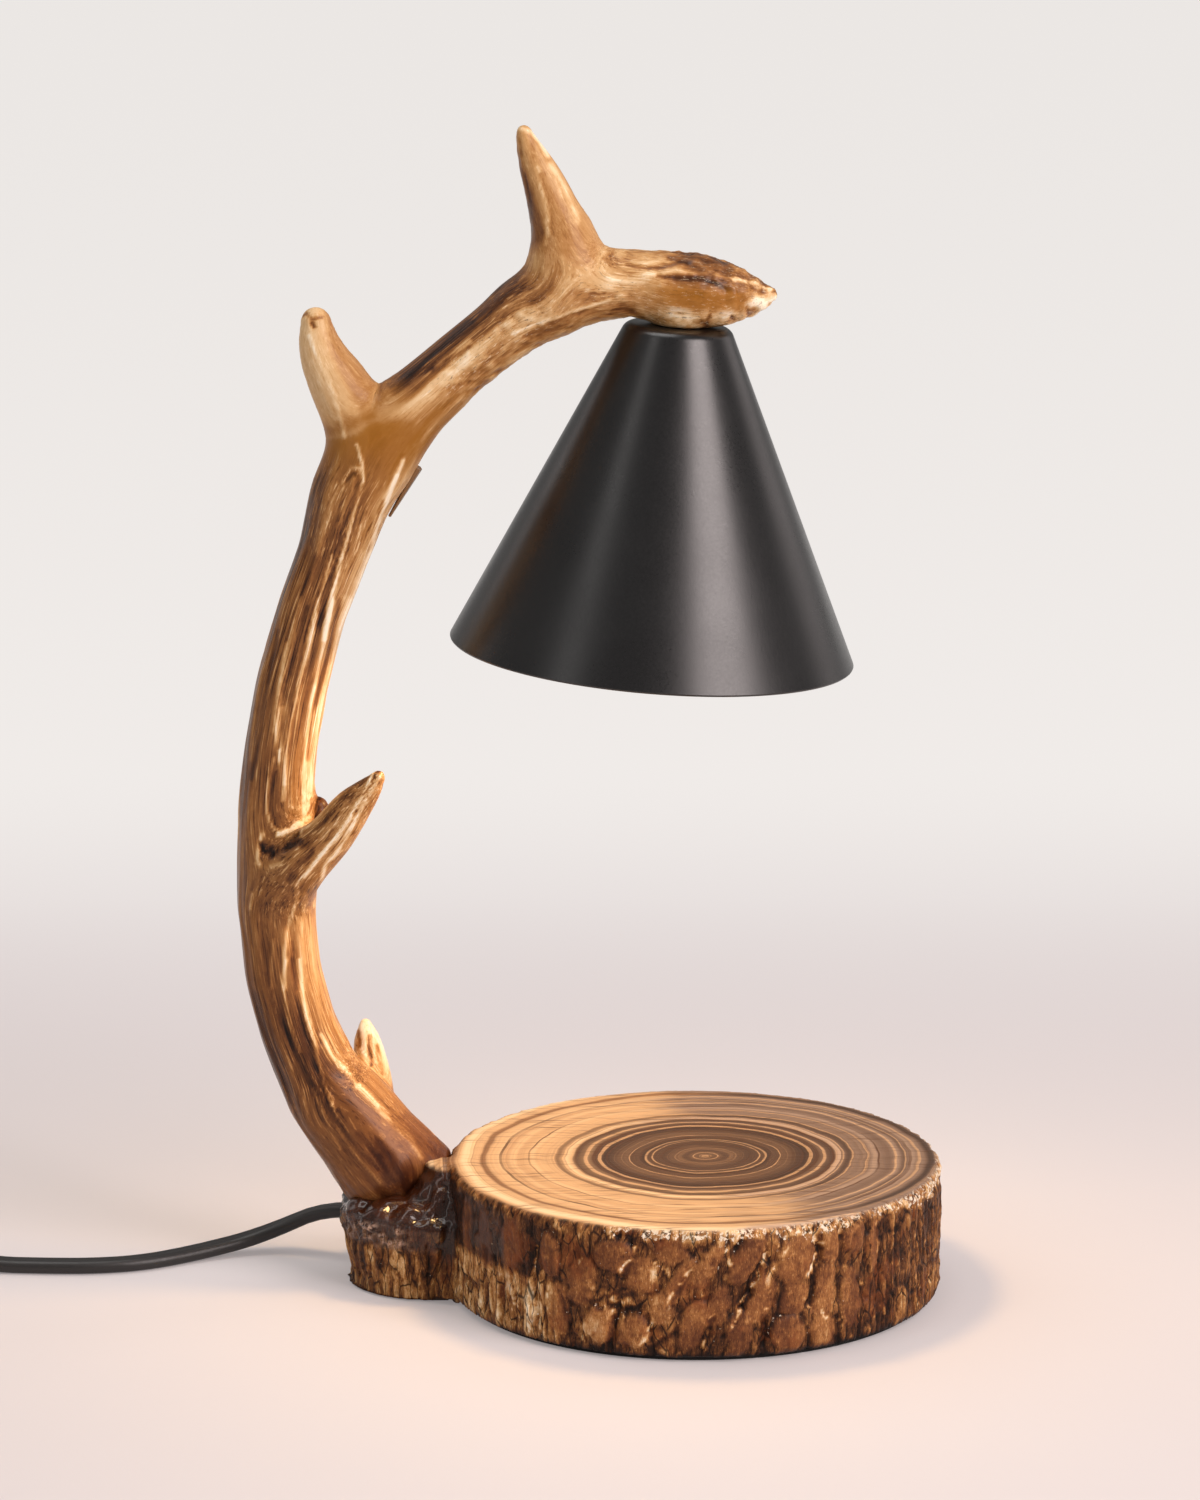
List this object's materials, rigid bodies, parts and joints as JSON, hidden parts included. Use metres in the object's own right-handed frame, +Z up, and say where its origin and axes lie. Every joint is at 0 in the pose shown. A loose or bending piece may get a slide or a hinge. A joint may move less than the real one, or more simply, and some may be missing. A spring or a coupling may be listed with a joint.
{
  "type": "candle warmer lamp",
  "caption": "Table lamp that melts a jar candle from above: antler-shaped arm on a wood-slice base, with a cone shade over the candle's place.",
  "frame": {"origin": "middle of the wood slice's underside, on the surface that the lamp stands on", "axes": "+Z up; +X from the antler's foot towards the middle of the slice and beyond; -Y towards the viewer"},
  "size_m": [0.4867, 0.1467, 0.3144],
  "materials": {
    "bark_resin": "glossy lacquer over brown bark",
    "antler_resin": "glossy lacquer over caramel antler",
    "pad_foam": "matt",
    "black_plastic": "fine grain",
    "cord_pvc": "satin",
    "cap_nylon": "satin",
    "wire_sleeve": "satin",
    "zinc_steel": "zinc plated",
    "brass_nuts": "bright",
    "contact_brass": "bright",
    "black_paint": "satin black paint",
    "holder_ceramic": "bisque",
    "reflector_mirror": "aluminised",
    "lamp_glass": "clear",
    "board_green": "solder mask",
    "pot_body": "satin",
    "knob_plastic": "satin"
  },
  "bodies": {
    "lamp": {"base_slice": "bark_resin", "base_pad": "pad_foam", "bottom_cover": "black_plastic", "cover_screws": "zinc_steel", "antler_arm": "antler_resin", "arm_conduit": "zinc_steel", "conduit_washers": "zinc_steel", "conduit_nuts": "brass_nuts", "cord_bushing": "cord_pvc", "cord_clamp": "black_plastic", "clamp_screws": "zinc_steel", "wire_joints": "cap_nylon", "arm_wires": "wire_sleeve", "cord_cores": "wire_sleeve", "shade": "black_paint", "holder_bracket": "zinc_steel", "holder_screws": "zinc_steel", "lampholder": "holder_ceramic", "holder_contacts": "contact_brass", "dimmer_bottom": "black_plastic", "dimmer_top": "black_plastic", "dimmer_screws": "zinc_steel", "dimmer_board": "board_green", "dimmer_terminals": "cap_nylon", "dimmer_pot": "pot_body", "dimmer_grommets": "cord_pvc", "plug_body": "cord_pvc", "plug_blades": "contact_brass", "plug_relief": "cord_pvc", "cord_lamp_side": "cord_pvc", "cord_plug_side": "cord_pvc", "cord_coil": "cord_pvc", "cord_tail": "cord_pvc"},
    "bulb": {"bulb_base": "holder_ceramic", "bulb_pins": "contact_brass", "bulb_reflector": "reflector_mirror", "bulb_lens": "lamp_glass", "bulb_capsule": "lamp_glass"},
    "dimmer_control": {"dimmer_knob": "knob_plastic", "dimmer_spindle": "zinc_steel"}
  },
  "joints": [
    {"name": "lamp_twist", "type": "hinge", "parent": "lamp", "child": "bulb", "pos_m": [-0.00794, 0, 0.22162], "axis": [0.0785, 0, 0.9969], "range_deg": [0, 25]},
    {"name": "dimmer_turn", "type": "hinge", "parent": "lamp", "child": "dimmer_control", "pos_m": [-0.28, 0.013, 0.0235], "axis": [0, 0, 1], "range_deg": [-270, 0]}
  ]
}
